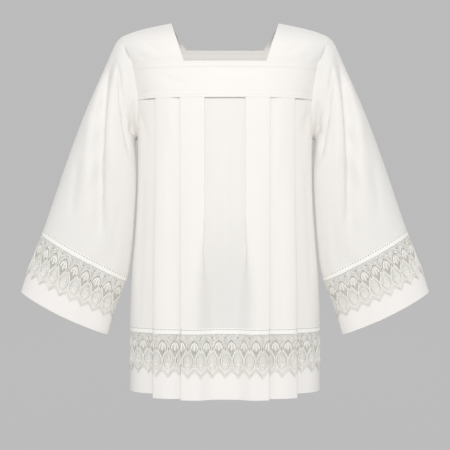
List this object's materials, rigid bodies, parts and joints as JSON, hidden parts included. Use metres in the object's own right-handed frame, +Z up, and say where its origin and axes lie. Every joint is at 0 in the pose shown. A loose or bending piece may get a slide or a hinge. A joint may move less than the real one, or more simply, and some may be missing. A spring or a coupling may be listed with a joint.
{
  "type": "surplice, worn and held up by its wearer's shoulders",
  "caption": "Square-yoked surplice in ivory cloth, with pleated skirts, wide sleeves and lace insertions above the hem and cuffs.",
  "frame": {"origin": "midway between the shoulders, level with the side points of the neck, where the wearer's shoulders hold the garment up", "axes": "+X to the wearer's left sleeve, -Y out of the front, +Z up"},
  "size_m": [0.9298, 0.2862, 0.8394],
  "materials": {
    "cloth": "matte ivory plain-weave cloth with a faint sheen",
    "hem_cloth": "matte ivory plain-weave cloth, folded double",
    "lace": "ecru-white cotton lace on a fine net"
  },
  "bodies": {
    "root": {"yoke_front": "cloth", "yoke_back": "cloth", "shoulder_left": "cloth", "shoulder_right": "cloth", "skirt_front": "cloth", "skirt_back": "cloth", "lace_front": "lace", "lace_back": "lace", "hem_front": "hem_cloth", "hem_back": "hem_cloth", "sleeve_left": "cloth", "sleeve_right": "cloth", "sleeve_lace_left": "lace", "sleeve_lace_right": "lace", "cuff_left": "hem_cloth", "cuff_right": "hem_cloth"}
  },
  "joints": []
}
